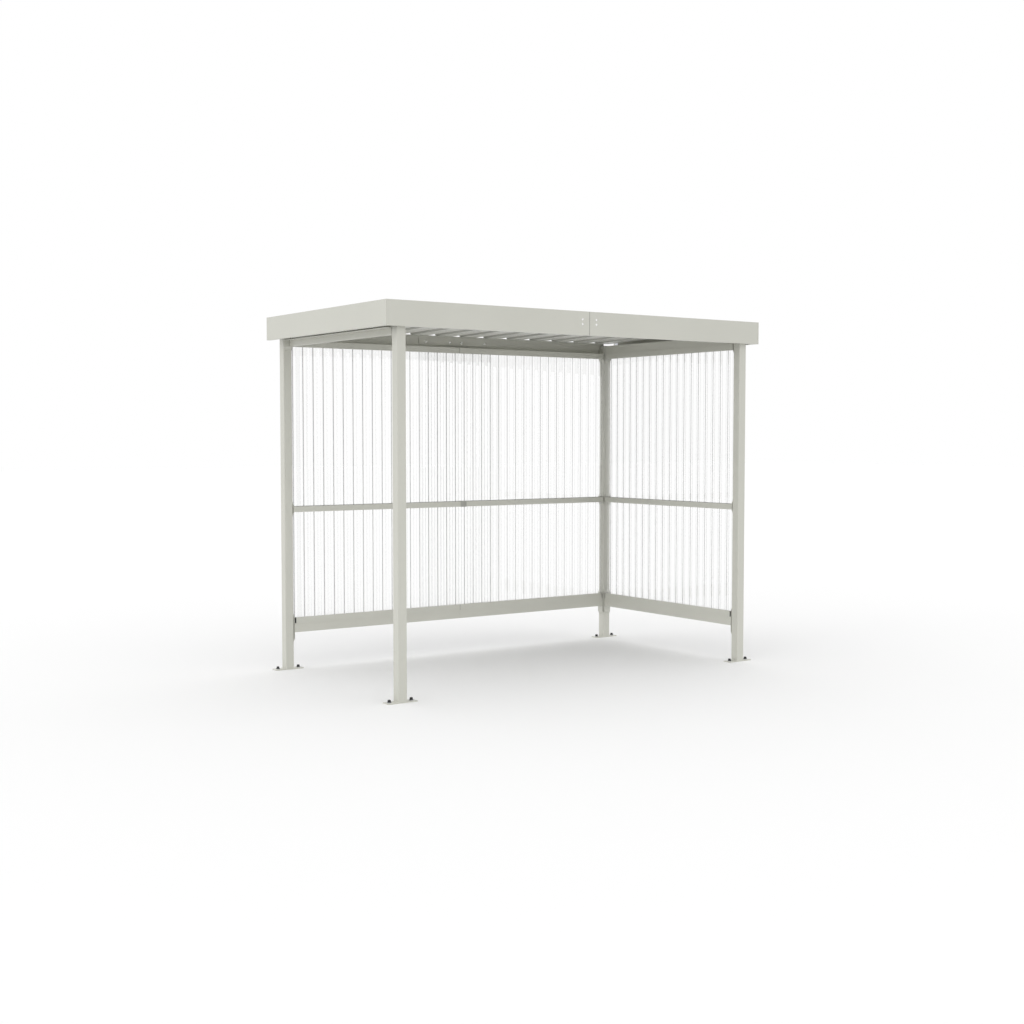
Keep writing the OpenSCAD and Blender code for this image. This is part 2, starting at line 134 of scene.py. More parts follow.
def colourAround(tree, source, output, look, span=noiseSpan):
    # a little darker to a little lighter than the wanted colour
    ramp = addNode(tree, "ShaderNodeValToRGB")
    ends = ramp.color_ramp.elements
    ends[0].position, ends[1].position = span
    ends[0].color = (*[c - look["wander"] for c in look["colour"]], 1.0)
    ends[1].color = (*[c + look["wander"] for c in look["colour"]], 1.0)
    link(tree, source, output, ramp, "Fac")
    return ramp


def glossAround(tree, source, output, look, shader):
    spreadTo(tree, source, output, look["roughness"] - look["glossWander"],
             look["roughness"] + look["glossWander"], shader, "Roughness")


def bumpFrom(tree, source, output, height, strength, shader):
    bump = addNode(tree, "ShaderNodeBump", inputs={"Strength": strength, "Distance": height})
    link(tree, source, output, bump, "Height")
    link(tree, bump, "Normal", shader, "Normal")


def mixColours(tree, first, second, share):
    # each of them is a plain colour or a (node, output) pair; share is a (node, output) pair;
    # sockets 6 and 7 of the node take the colours, and its output 2 gives the mix
    mix = addNode(tree, "ShaderNodeMix", data_type="RGBA")
    link(tree, *share, mix, 0)
    for socket, colour in ((6, first), (7, second)):
        if len(colour) == 2:
            link(tree, *colour, mix, socket)
        else:
            mix.inputs[socket].default_value = (*colour, 1.0)
    return mix, 2


paintLook = {
    "colour": (0.622, 0.622, 0.560),
    "wander": 0.010,  # how far the colour drifts over a metre or so
    "driftScale": 1.7,
    "roughness": 0.34,
    "glossWander": 0.05,
    "glossScale": 9.0,
    "grainScale": 900.0,  # skin of the powder coat, about a millimetre across
    "grainHeight": 0.00004,
    "grainStrength": 0.35,
}


def makePaint(name, look):
    # powder coat on steel: colour that drifts a little, uneven gloss, a fine orange skin
    material, tree, shader = newMaterial(name)
    place = addNode(tree, "ShaderNodeTexCoord")
    drift = noiseFrom(tree, place, "Object", look["driftScale"], detail=3.0)
    link(tree, colourAround(tree, drift, "Fac", look), "Color", shader, "Base Color")
    gloss = noiseFrom(tree, place, "Object", look["glossScale"], detail=4.0)
    glossAround(tree, gloss, "Fac", look, shader)
    grain = noiseFrom(tree, place, "Object", look["grainScale"], detail=2.0)
    bumpFrom(tree, grain, "Fac", look["grainHeight"], look["grainStrength"], shader)
    return material


roofLook = {
    "colour": (0.622, 0.622, 0.560),
    "paintedUndersideLight": (0.870, 0.870, 0.810),  # painted light: the underside's pans drawn lighter than the coat
    "paintedFlankShade": (0.510, 0.510, 0.470),  # painted shade on the underside's rib flanks
    "flankFrom": 0.2,  # a face that leans this far sideways begins to be a flank
    "flankFull": 0.6,
    "wander": 0.012,
    "driftScale": 2.3,
    "roughness": 0.30,
    "glossWander": 0.06,
    "specular": 0.2,  # the coil coat is duller than the powder coat
    "lines": (160.0, 3.0, 160.0),  # rolling marks run along the ribs
    "lineHeight": 0.00002,
    "lineStrength": 0.3,
}


def makeRoofCoat(name, look):
    # coil coated steel with faint marks from the rolls; painted light on the underside's pans and
    # painted shade on its rib flanks
    material, tree, shader = newMaterial(name)
    shader.inputs["Specular IOR Level"].default_value = look["specular"]
    place = addNode(tree, "ShaderNodeTexCoord")
    drift = noiseFrom(tree, place, "Object", look["driftScale"], detail=3.0)
    outside = colourAround(tree, drift, "Fac", look)
    facing = addNode(tree, "ShaderNodeSeparateXYZ")
    link(tree, place, "Normal", facing, "Vector")
    steep = addNode(tree, "ShaderNodeMapRange", inputs={
        "From Min": look["flankFrom"], "From Max": look["flankFull"]})
    link(tree, *mathNode(tree, "ABSOLUTE", (facing, "X")), steep, "Value")
    # painted light on the underside's pans, painted shade on its rib flanks
    paintedUnderLight = mixColours(tree, look["paintedUndersideLight"], look["paintedFlankShade"], (steep, "Result"))
    coat = mixColours(tree, (outside, "Color"), paintedUnderLight,
                      mathNode(tree, "LESS_THAN", (facing, "Z"), 0.0))
    link(tree, *coat, shader, "Base Color")
    lines = noiseFrom(tree, stretchedPlace(tree, look["lines"]), "Vector", scale=1.0, detail=3.0)
    glossAround(tree, lines, "Fac", look, shader)
    bumpFrom(tree, lines, "Fac", look["lineHeight"], look["lineStrength"], shader)
    return material


sheetThick = 0.001  # roof sheets and clear sheets alike

clearLook = {
    "tint": (0.992, 0.994, 0.992),
    "bendShadeTint": (0.90, 0.905, 0.90),  # painted shade in faint lines along the bends
    "bendWidth": 0.0025,  # to each side of a bend
    "bendRound": 0.0022,  # a flat turns towards the slope over this much
    "edgeOnShadeTint": (0.16, 0.165, 0.16),  # painted shade where the sheet is seen edge on, for the darker surroundings it bends and reflects there
    "edgeStart": 0.42,
    "edgeFull": 0.92,
    "edgeBlend": 0.5,
    "railTint": (0.430, 0.430, 0.388),  # the rails' paint in painted shade, put on the sheet where a flat lies on a rail
    "roughness": 0.0,
    "haze": 0.015,  # added to the roughness in places
    "hazeScale": 3.0,
    "ior": 1.585,  # polycarbonate
    "ripple": (14.0, 14.0, 5.0),  # slow waves, longer up and down
    "rippleHeight": 0.00015,
    "rippleStrength": 0.05,
}


def makeClear(name, look, axis, ribs):
    # clear ribbed sheet: painted shade in faint lines along the bends and where it is seen edge on,
    # the rails' paint in painted shade where a flat lies on a rail, slow ripples;
    # axis runs across the ribs
    material, tree, shader = newMaterial(name)
    shader.inputs["IOR"].default_value = look["ior"]
    place = addNode(tree, "ShaderNodeTexCoord")
    split = addNode(tree, "ShaderNodeSeparateXYZ")
    link(tree, place, "Object", split, "Vector")
    along = mathNode(tree, "SUBTRACT", (split, axis), ribs["flatMiddle"])
    fromFlat = mathNode(tree, "PINGPONG", along, ribs["pitch"] / 4)
    fromBend = mathNode(tree, "ABSOLUTE", mathNode(tree, "SUBTRACT", fromFlat, ribs["toBend"]))
    flatness = addNode(tree, "ShaderNodeMapRange", inputs={
        "From Min": 0.0, "From Max": look["bendWidth"]})
    link(tree, *fromBend, flatness, "Value")
    # painted shade along the bends
    body = mixColours(tree, look["bendShadeTint"], look["tint"], (flatness, "Result"))
    # the bends are round: the way the face looks turns before the slope begins
    lean = addNode(tree, "ShaderNodeMapRange", inputs={
        "From Min": ribs["toBend"] - look["bendRound"], "From Max": ribs["toBend"],
        "To Max": ribs["slope"]})
    link(tree, *fromFlat, lean, "Value")
    rising = mathNode(tree, "LESS_THAN", mathNode(
        tree, "FRACT", mathNode(tree, "DIVIDE", along, ribs["pitch"])), 0.5)
    side = mathNode(tree, "SUBTRACT", 1.0, mathNode(tree, "MULTIPLY", rising, 2.0))
    sideways = mathNode(tree, "MULTIPLY", mathNode(tree, "SINE", (lean, "Result")), side)
    straight = mathNode(tree, "COSINE", (lean, "Result"))
    faceWay = addNode(tree, "ShaderNodeCombineXYZ")
    link(tree, *sideways, faceWay, axis)
    link(tree, *straight, faceWay, "Y" if axis == "X" else "X")
    # painted shade where the sheet is seen edge on, widened over the round bends
    facing = addNode(tree, "ShaderNodeLayerWeight", inputs={"Blend": look["edgeBlend"]})
    link(tree, faceWay, "Vector", facing, "Normal")
    edge = addNode(tree, "ShaderNodeMapRange", inputs={
        "From Min": look["edgeStart"], "From Max": look["edgeFull"]})
    link(tree, facing, "Facing", edge, "Value")
    colour = mixColours(tree, body, look["edgeOnShadeTint"], (edge, "Result"))
    # where an inner flat lies against a rail, the rail's paint is put on the sheet in painted shade
    onRail = 0.0
    for low, high in ribs["rails"]:
        level = mathNode(tree, "COMPARE", (split, "Z"), (low + high) / 2, (high - low) / 2)
        onRail = mathNode(tree, "MAXIMUM", onRail, level)
    onFlat = mathNode(tree, "LESS_THAN", mathNode(tree, "PINGPONG", along, ribs["pitch"] / 2),
                      ribs["toBend"])
    against = mathNode(tree, "MULTIPLY", onRail, onFlat)
    link(tree, *mixColours(tree, colour, look["railTint"], against), shader, "Base Color")
    solid = mathNode(tree, "MAXIMUM", against, (edge, "Result"))
    link(tree, *mathNode(tree, "SUBTRACT", 1.0, solid), shader, "Transmission Weight")
    haze = noiseFrom(tree, place, "Object", look["hazeScale"], detail=5.0)
    spreadTo(tree, haze, "Fac", look["roughness"], look["roughness"] + look["haze"],
             shader, "Roughness")
    ripple = noiseFrom(tree, stretchedPlace(tree, look["ripple"]), "Vector", scale=1.0, detail=1.0)
    bumpFrom(tree, ripple, "Fac", look["rippleHeight"], look["rippleStrength"], shader)
    return material


zincLook = {
    "colour": (0.62, 0.63, 0.65),
    "wander": 0.05,
    "roughness": 0.38,
    "glossWander": 0.10,
    "spangleScale": 260.0,  # crystals of a few millimetres
}


def makeZinc(name, look):
    # dull zinc plate: small crystals that differ in shade and gloss
    material, tree, shader = newMaterial(name)
    shader.inputs["Metallic"].default_value = 1.0
    place = addNode(tree, "ShaderNodeTexCoord")
    crystals = addNode(tree, "ShaderNodeTexVoronoi", inputs={"Scale": look["spangleScale"]})
    link(tree, place, "Object", crystals, "Vector")
    shade = addNode(tree, "ShaderNodeSeparateColor")
    link(tree, crystals, "Color", shade, "Color")
    colour = colourAround(tree, shade, "Red", look, span=(0.0, 1.0))
    link(tree, colour, "Color", shader, "Base Color")
    glossAround(tree, shade, "Green", look, shader)
    return material


brightLook = {
    "colour": (0.86, 0.86, 0.85),
    "wander": 0.03,
    "roughness": 0.26,
    "glossWander": 0.06,
    "brush": (900.0, 900.0, 60.0),
}


def makeBright(name, look):
    # plain aluminium and stainless fixings with fine drawing marks
    material, tree, shader = newMaterial(name)
    shader.inputs["Metallic"].default_value = 1.0
    marks = noiseFrom(tree, stretchedPlace(tree, look["brush"]), "Vector", scale=1.0, detail=2.0)
    link(tree, colourAround(tree, marks, "Fac", look), "Color", shader, "Base Color")
    glossAround(tree, marks, "Fac", look, shader)
    return material


blackLook = {
    "colour": (0.022, 0.022, 0.023),
    "wander": 0.006,
    "cloudScale": 60.0,
    "roughness": 0.42,
    "glossWander": 0.08,
    "grainScale": 1600.0,
    "grainHeight": 0.00003,
    "grainStrength": 0.4,
}
sleeveLook = {
    "colour": (0.40, 0.40, 0.365),
    "wander": 0.015,
    "cloudScale": 60.0,
    "roughness": 0.50,
    "glossWander": 0.06,
    "grainScale": 1300.0,
    "grainHeight": 0.00004,
    "grainStrength": 0.5,
}
rubberLook = {
    "colour": (0.030, 0.030, 0.031),
    "wander": 0.010,
    "cloudScale": 60.0,
    "roughness": 0.72,
    "glossWander": 0.08,
    "grainScale": 2400.0,
    "grainHeight": 0.00004,
    "grainStrength": 0.5,
}


def makeMoulded(name, look):
    # moulded plastic or rubber: an even colour with a fine matt grain
    material, tree, shader = newMaterial(name)
    place = addNode(tree, "ShaderNodeTexCoord")
    cloud = noiseFrom(tree, place, "Object", look["cloudScale"], detail=3.0)
    link(tree, colourAround(tree, cloud, "Fac", look), "Color", shader, "Base Color")
    glossAround(tree, cloud, "Fac", look, shader)
    grain = noiseFrom(tree, place, "Object", look["grainScale"], detail=2.0)
    bumpFrom(tree, grain, "Fac", look["grainHeight"], look["grainStrength"], shader)
    return material


sameLevel = 0.00001  # corners this close in level belong to one flat
sameWidth = 0.0005
restsOn = 0.0003  # a flat this close to a rail's face lies on it


def innerFlats(name, across, depth):
    # (start, stop) of every flat on the side of the rails, and the level of those flats;
    # across is the axis number across the ribs, depth the one through the sheet
    corners = nodes[name].data.vertices
    level = min(v.co[depth] for v in corners)
    edges = sorted({round(v.co[across], 5) for v in corners
                    if abs(v.co[depth] - level) < sameLevel})
    spans = list(zip(edges, edges[1:]))
    # flats and the open feet of the ribs take turns; the flats are the narrower ones,
    # but for what a cut end leaves of a flat
    widths = sorted({round(b - a, 4) for a, b in spans})
    whole = next(w for w in widths if sum(abs(b - a - w) < sameWidth for a, b in spans) > 2)
    return [(a, b) for a, b in spans if abs(b - a - whole) < sameWidth], level


def ribsOf(name, across, depth, rails):
    # where the ribs of a sheet stand, and the heights at which the sheet touches the rails;
    # inner and outer flats are equally wide
    flats, level = innerFlats(name, across, depth)
    start, stop = flats[0]
    pitch = flats[1][0] - start
    low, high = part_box(name)
    slopeRun = pitch / 2 - (stop - start)
    slopeRise = high[depth] - low[depth] - sheetThick
    touching = []
    for rail in rails:
        heights = [v.co.z for v in nodes[rail].data.vertices
                   if abs(v.co[depth] - level) < restsOn]
        if heights:
            touching.append((min(heights), max(heights)))
    print(name, "touches", len(touching), "rails")
    return {"flatMiddle": (start + stop) / 2, "toBend": (stop - start) / 2, "pitch": pitch,
            "slope": math.atan2(slopeRise, slopeRun), "rails": touching}


paint = makePaint("palePowderCoat", paintLook)
clearBack = makeClear("clearBackSheet", clearLook, "X", ribsOf("back_wall_sheet_left", 0, 1, [
    "back_bottom_rail_left", "back_mid_rail_left", "back_top_rail_left"]))
clearSide = makeClear("clearSideSheet", clearLook, "Y", ribsOf("right_wall_sheet", 1, 0, [
    "right_bottom_rail", "right_mid_rail", "right_top_beam"]))
roofCoat = makeRoofCoat("coatedRoofSheet", roofLook)
zinc = makeZinc("dullZincPlate", zincLook)
brightMetal = makeBright("brightFixings", brightLook)
greySleeve = makeMoulded("greySleevePlastic", sleeveLook)
blackPlastic = makeMoulded("blackPlastic", blackLook)
rubber = makeMoulded("blackRubber", rubberLook)

for name, item in nodes.items():
    if name.startswith("back_wall_sheet"):
        chosen = clearBack
    elif name == "right_wall_sheet":
        chosen = clearSide
    elif name.startswith("roof_sheet"):
        chosen = roofCoat
    elif name.endswith("brackets"):
        chosen = zinc
    else:
        chosen = paint
    for socket in item.material_slots:
        socket.material = chosen
print("finishes set on the frame")


def solidBoxes(name):
    # (lowest, highest) corner of each separate solid of a node
    edit = bmesh.new()
    edit.from_mesh(nodes[name].data)
    bmesh.ops.remove_doubles(edit, verts=edit.verts, dist=1e-6)
    edit.verts.ensure_lookup_table()
    seen = set()
    boxes = []
    for start in edit.verts:
        if start in seen:
            continue
        seen.add(start)
        group, edge = [], [start]
        while edge:
            corner = edge.pop()
            group.append(corner.co.copy())
            for line in corner.link_edges:
                other = line.other_vert(corner)
                if other not in seen:
                    seen.add(other)
                    edge.append(other)
        boxes.append((Vector([min(p[i] for p in group) for i in range(3)]),
                      Vector([max(p[i] for p in group) for i in range(3)])))
    edit.free()
    return sorted(boxes, key=lambda b: tuple(b[0]))


def middle(box):
    return (box[0] + box[1]) / 2


def smoothByAngle(mesh, degrees):
    limit = math.radians(degrees)
    edit = bmesh.new()
    edit.from_mesh(mesh)
    for face in edit.faces:
        face.smooth = True
    for line in edit.edges:
        line.smooth = len(line.link_faces) == 2 and line.calc_face_angle(0.0) < limit
    edit.to_mesh(mesh)
    edit.free()


def startTree(name, sockets):
    # an empty node tree with its named inputs; gives the tree, its two ends and the socket names
    tree = bpy.data.node_groups.new(name, "GeometryNodeTree")
    tree.is_modifier = True
    tree.interface.new_socket(name="Geometry", in_out="INPUT", socket_type="NodeSocketGeometry")
    ids = {}
    for label, kind in sockets:
        socket = tree.interface.new_socket(
            name=label, in_out="INPUT", socket_type="NodeSocket" + kind)
        ids[label] = socket.identifier
    tree.interface.new_socket(name="Geometry", in_out="OUTPUT", socket_type="NodeSocketGeometry")
    return tree, addNode(tree, "NodeGroupInput"), addNode(tree, "NodeGroupOutput"), ids


def endTree(tree, start, end, last, output):
    # every tree closes the same way: real faces, then the finish
    real = addNode(tree, "GeometryNodeRealizeInstances")
    coat = addNode(tree, "GeometryNodeSetMaterial")
    link(tree, last, output, real, "Geometry")
    link(tree, real, "Geometry", coat, "Geometry")
    link(tree, start, "Material", coat, "Material")
    link(tree, coat, "Geometry", end, "Geometry")


def standAlongAxis(tree):
    # a rotation that stands a body up along its point's axis
    axis = addNode(tree, "GeometryNodeInputNamedAttribute", data_type="FLOAT_VECTOR",
                   inputs={"Name": "axis"})
    stand = addNode(tree, "FunctionNodeAlignRotationToVector", axis="Z")
    link(tree, axis, "Attribute", stand, "Vector")
    return stand


def makeFixingTree():
    # one turned or many sided body at every point, standing along the point's axis
    tree, start, end, ids = startTree("fixings", [
        ("Sides", "Int"), ("Bottom Radius", "Float"), ("Top Radius", "Float"),
        ("Height", "Float"), ("Lift", "Float"), ("Turn Seed", "Int"), ("Material", "Material")])
    body = addNode(tree, "GeometryNodeMeshCone", fill_type="NGON")
    link(tree, start, "Sides", body, "Vertices")
    link(tree, start, "Top Radius", body, "Radius Top")
    link(tree, start, "Bottom Radius", body, "Radius Bottom")
    link(tree, start, "Height", body, "Depth")
    rise = addNode(tree, "ShaderNodeCombineXYZ")
    link(tree, start, "Lift", rise, "Z")
    raised = addNode(tree, "GeometryNodeTransform")
    link(tree, body, "Mesh", raised, "Geometry")
    link(tree, rise, "Vector", raised, "Translation")
    angle = addNode(tree, "FunctionNodeRandomValue", data_type="FLOAT")
    angle.inputs[3].default_value = 2 * math.pi  # Max, where the value is a plain number
    link(tree, start, "Turn Seed", angle, "Seed")
    spin = addNode(tree, "FunctionNodeAxisAngleToRotation", inputs={"Axis": (0.0, 0.0, 1.0)})
    link(tree, angle, 1, spin, "Angle")
    turned = addNode(tree, "FunctionNodeRotateRotation", rotation_space="LOCAL")
    link(tree, standAlongAxis(tree), "Rotation", turned, "Rotation")
    link(tree, spin, "Rotation", turned, "Rotate By")
    placed = addNode(tree, "GeometryNodeInstanceOnPoints")
    link(tree, start, "Geometry", placed, "Points")
    link(tree, raised, "Geometry", placed, "Instance")
    link(tree, turned, "Rotation", placed, "Rotation")
    endTree(tree, start, end, placed, "Instances")
    return tree, ids


def makePlugTree():
    # a flat cap with rounded corners at every point, standing along the point's axis
    tree, start, end, ids = startTree("endCaps", [
        ("Width", "Float"), ("Height", "Float"), ("Thickness", "Float"),
        ("Corner", "Float"), ("Material", "Material")])
    outline = addNode(tree, "GeometryNodeCurvePrimitiveQuadrilateral", mode="RECTANGLE")
    link(tree, start, "Width", outline, "Width")
    link(tree, start, "Height", outline, "Height")
    rounded = addNode(tree, "GeometryNodeFilletCurve", mode="POLY", inputs={"Count": 4})
    link(tree, outline, "Curve", rounded, "Curve")
    link(tree, start, "Corner", rounded, "Radius")
    face = addNode(tree, "GeometryNodeFillCurve", mode="NGONS")
    link(tree, rounded, "Curve", face, "Curve")
    thick = addNode(tree, "GeometryNodeExtrudeMesh", mode="FACES")
    link(tree, face, "Mesh", thick, "Mesh")
    link(tree, start, "Thickness", thick, "Offset Scale")
    under = addNode(tree, "GeometryNodeFlipFaces")
    link(tree, face, "Mesh", under, "Mesh")
    both = addNode(tree, "GeometryNodeJoinGeometry")
    link(tree, thick, "Mesh", both, "Geometry")
    link(tree, under, "Mesh", both, "Geometry")
    closed = addNode(tree, "GeometryNodeMergeByDistance", inputs={"Distance": 0.00001})
    link(tree, both, "Geometry", closed, "Geometry")
    side = addNode(tree, "FunctionNodeAlignRotationToVector", axis="Y", pivot_axis="Z",
                   inputs={"Vector": (0.0, 0.0, 1.0)})
    link(tree, standAlongAxis(tree), "Rotation", side, "Rotation")
    placed = addNode(tree, "GeometryNodeInstanceOnPoints")
    link(tree, start, "Geometry", placed, "Points")
    link(tree, closed, "Geometry", placed, "Instance")
    link(tree, side, "Rotation", placed, "Rotation")
    endTree(tree, start, end, placed, "Instances")
    return tree, ids


def makeWeldTree():
    # a bead along every line, a little thicker and thinner along its length
    tree, start, end, ids = startTree("weldBeads", [
        ("Radius", "Float"), ("Step", "Float"), ("Unevenness", "Float"),
        ("Ripple Scale", "Float"), ("Sides", "Int"), ("Material", "Material")])
    line = addNode(tree, "GeometryNodeMeshToCurve")
    link(tree, start, "Geometry", line, "Mesh")
    fine = addNode(tree, "GeometryNodeResampleCurve", mode="LENGTH")
    link(tree, line, "Curve", fine, "Curve")
    link(tree, start, "Step", fine, "Length")
    ripple = addNode(tree, "ShaderNodeTexNoise", inputs={"Detail": 1.0})
    link(tree, start, "Ripple Scale", ripple, "Scale")
    low = mathNode(tree, "SUBTRACT", 1.0, (start, "Unevenness"))
    high = mathNode(tree, "ADD", 1.0, (start, "Unevenness"))
    size = addNode(tree, "ShaderNodeMapRange", inputs={
        "From Min": noiseSpan[0], "From Max": noiseSpan[1]})
    link(tree, ripple, "Fac", size, "Value")
    link(tree, *low, size, "To Min")
    link(tree, *high, size, "To Max")
    ring = addNode(tree, "GeometryNodeCurvePrimitiveCircle", mode="RADIUS")
    link(tree, start, "Sides", ring, "Resolution")
    link(tree, start, "Radius", ring, "Radius")
    bead = addNode(tree, "GeometryNodeCurveToMesh", inputs={"Fill Caps": True})
    link(tree, fine, "Curve", bead, "Curve")
    link(tree, ring, "Curve", bead, "Profile Curve")
    link(tree, size, "Result", bead, "Scale")
    endTree(tree, start, end, bead, "Mesh")
    return tree, ids


fixingTree, fixingIds = makeFixingTree()
plugTree, plugIds = makePlugTree()
weldTree, weldIds = makeWeldTree()
print("node trees built")


pieceSmooth = 35.0  # degrees; an edge that turns more than this stays sharp
beadSmooth = 80.0
edgeSegments = 2
edgeLimit = 30.0  # degrees; only edges that turn more than this are rounded


def plainMesh(blank, name, smooth):
    # what the blank's modifiers make of it, as a mesh of its own; the blank goes
    depsgraph = bpy.context.evaluated_depsgraph_get()
    mesh = bpy.data.meshes.new_from_object(blank.evaluated_get(depsgraph), depsgraph=depsgraph)
    mesh.name = name
    blank.modifiers.clear()
    bpy.data.objects.remove(blank, do_unlink=True)
    if mesh.attributes.get("axis"):
        mesh.attributes.remove(mesh.attributes["axis"])
    smoothByAngle(mesh, smooth)
    return mesh


def addPiece(name, mesh):
    piece = bpy.data.objects.new(name, mesh)
    bpy.context.scene.collection.objects.link(piece)
    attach(piece, "root")


def growPiece(name, tree, ids, points, values, lines=(), axes=(), roundEdge=0.0,
              smooth=pieceSmooth):
    # points and lines through a node tree, turned into one plain mesh that rides on the shelter
    places = bpy.data.meshes.new(name + "Places")
    places.from_pydata([tuple(p) for p in points], [tuple(l) for l in lines], [])
    if axes:
        attribute = places.attributes.new("axis", "FLOAT_VECTOR", "POINT")
        attribute.data.foreach_set("vector", [c for axis in axes for c in axis])
    blank = bpy.data.objects.new(name + "Places", places)
    bpy.context.scene.collection.objects.link(blank)
    modifier = blank.modifiers.new("grow", "NODES")
    modifier.node_group = tree
    for label, value in values.items():
        modifier[ids[label]] = value
    if roundEdge:
        bevel = blank.modifiers.new("roundEdges", "BEVEL")
        bevel.width = roundEdge
        bevel.segments = edgeSegments
        bevel.limit_method = "ANGLE"
        bevel.angle_limit = math.radians(edgeLimit)
    mesh = plainMesh(blank, name, smooth)
    addPiece(name, mesh)
    print(name, "made:", len(points), "places,", len(mesh.polygons), "faces")


def growFixings(name, places, look, material):
    # places are (point, axis) pairs; look gives one body's sizes
    growPiece(name, fixingTree, fixingIds, [p for p, a in places], {
        "Sides": look["sides"], "Bottom Radius": look["bottom"], "Top Radius": look["top"],
        "Height": look["height"], "Lift": look.get("lift", 0.0), "Turn Seed": look.get("seed", 1),
        "Material": material},
        axes=[a for p, a in places], roundEdge=look["edge"])


def growBeads(name, look, radius, points, lines, material):
    # a weld or a bead of sealant along every line
    growPiece(name, weldTree, weldIds, points, {
        "Radius": radius, "Step": look["step"], "Unevenness": look["unevenness"],
        "Ripple Scale": look["rippleScale"], "Sides": look["sides"], "Material": material},
        lines=lines, smooth=beadSmooth)


upwards = (0.0, 0.0, 1.0)
towardsFront = (0.0, -1.0, 0.0)
towardsBack = (0.0, 1.0, 0.0)
towardsRight = (1.0, 0.0, 0.0)

basePlates = ["back_left_base_plate", "back_right_base_plate",
              "front_left_base_plate", "front_right_base_plate"]
posts = ["back_left_post", "back_right_post", "front_left_post", "front_right_post"]

anchorLook = {
    "holeReach": 0.075,  # from the middle of the plate to each anchor
    "washer": {"sides": 32, "bottom": 0.0145, "top": 0.0145, "height": 0.0022, "edge": 0.0004},
    "skirt": {"sides": 32, "bottom": 0.0120, "top": 0.0112, "height": 0.0050, "lift": 0.0022,
              "edge": 0.0006},
    "cap": {"sides": 6, "bottom": 0.0108, "top": 0.0098, "height": 0.0105, "lift": 0.0068,
            "edge": 0.0016, "seed": 5},
}


def makeAnchors(look):
    places = []
    for name in basePlates:
        low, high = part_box(name)
        centre = (low + high) / 2
        for side in (-1, 1):
            hole = Vector((centre.x + side * look["holeReach"], centre.y, high.z))
            places.append((hole, upwards))
    growFixings("anchor_washers", places, look["washer"], zinc)
    growFixings("anchor_cap_skirts", places, look["skirt"], blackPlastic)
    growFixings("anchor_caps", places, look["cap"], blackPlastic)


makeAnchors(anchorLook)

weldLook = {
    "footRadius": 0.0030,
    "strapRadius": 0.0022,
    "corner": 0.005,  # outside radius of the posts
    "step": 0.004,
    "unevenness": 0.14,
    "rippleScale": 260.0,
    "sides": 8,
}


def roundedLoop(low, high, radius, level, arcSteps=5):
    # closed outline of a square post with rounded corners
    loop = []
    corners = [(high.x, high.y, 0), (low.x, high.y, 90), (low.x, low.y, 180), (high.x, low.y, 270)]
    for x, y, first in corners:
        centreX = x - math.copysign(radius, x - (low.x + high.x) / 2)
        centreY = y - math.copysign(radius, y - (low.y + high.y) / 2)
        for step in range(arcSteps + 1):
            angle = math.radians(first + 90.0 * step / arcSteps)
            loop.append(Vector((centreX + radius * math.cos(angle),
                                centreY + radius * math.sin(angle), level)))
    return loop


def makeFootWelds(look):
    points, lines = [], []
    for name in posts:
        low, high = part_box(name)
        loop = roundedLoop(low, high, look["corner"], low.z)
        first = len(points)
        points += loop
        lines += [(first + i, first + (i + 1) % len(loop)) for i in range(len(loop))]
    growBeads("post_foot_welds", look, look["footRadius"], points, lines, paint)


def strapFeet():
    # foot middle, direction along the foot, half its width, low and high level of every strap
    feet = []
    for name in nodes:
        if "rail_strap" not in name:
            continue
        post = middle(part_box(name.split("_rail_strap")[0] + "_post"))
        for low, high in solidBoxes(name):
            off = 0 if high.x - low.x < high.y - low.y else 1  # axis it stands off the post by
            foot = (low + high) / 2
            foot[off] = low[off] if foot[off] > post[off] else high[off]
            foot.z = 0
            along = Vector((off, 1 - off, 0))
            feet.append((foot, along, (high[1 - off] - low[1 - off]) / 2, low.z, high.z))
    return feet


def makeStrapWelds(look):
    points, lines = [], []
    for foot, along, half, lowest, highest in strapFeet():
        reach = along * (half - look["strapRadius"])
        for level in (lowest, highest):
            centre = Vector((foot.x, foot.y, level))
            lines.append((len(points), len(points) + 1))
            points += [centre - reach, centre + reach]
    growBeads("strap_welds", look, look["strapRadius"], points, lines, paint)


makeFootWelds(weldLook)
makeStrapWelds(weldLook)

endCapLook = {
    "width": 0.0192,
    "height": 0.0392,
    "corner": 0.0030,
    "blackThickness": 0.0030,
    "steelThickness": 0.0080,
    "edge": 0.0006,
    "notch": 0.010,  # the box part of a wide rail stops this far short of its flat edge
    "boxHeight": 0.040,
    "boxDepth": 0.020,
}


def boxEnds(name, along, insideFace, ends, top):
    # middle of each open end of a rail's box part, and the way it faces;
    # along is the rail's axis number, an end is -1 or 1
    low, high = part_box(name)
    found = []
    for end in ends:
        point = Vector((0, 0, top - endCapLook["boxHeight"] / 2))
        point[along] = (high if end > 0 else low)[along] - end * endCapLook["notch"]
        point[1 - along] = insideFace + endCapLook["boxDepth"] / 2
        facing = Vector((0, 0, 0))
        facing[along] = end
        found.append((point, facing))
    return found


def growCaps(name, places, look, thickness, material):
    # places are (point, axis) pairs
    growPiece(name, plugTree, plugIds, [p for p, a in places], {
        "Width": look["width"], "Height": look["height"], "Thickness": thickness,
        "Corner": look["corner"], "Material": material},
        axes=[a for p, a in places], roundEdge=look["edge"])


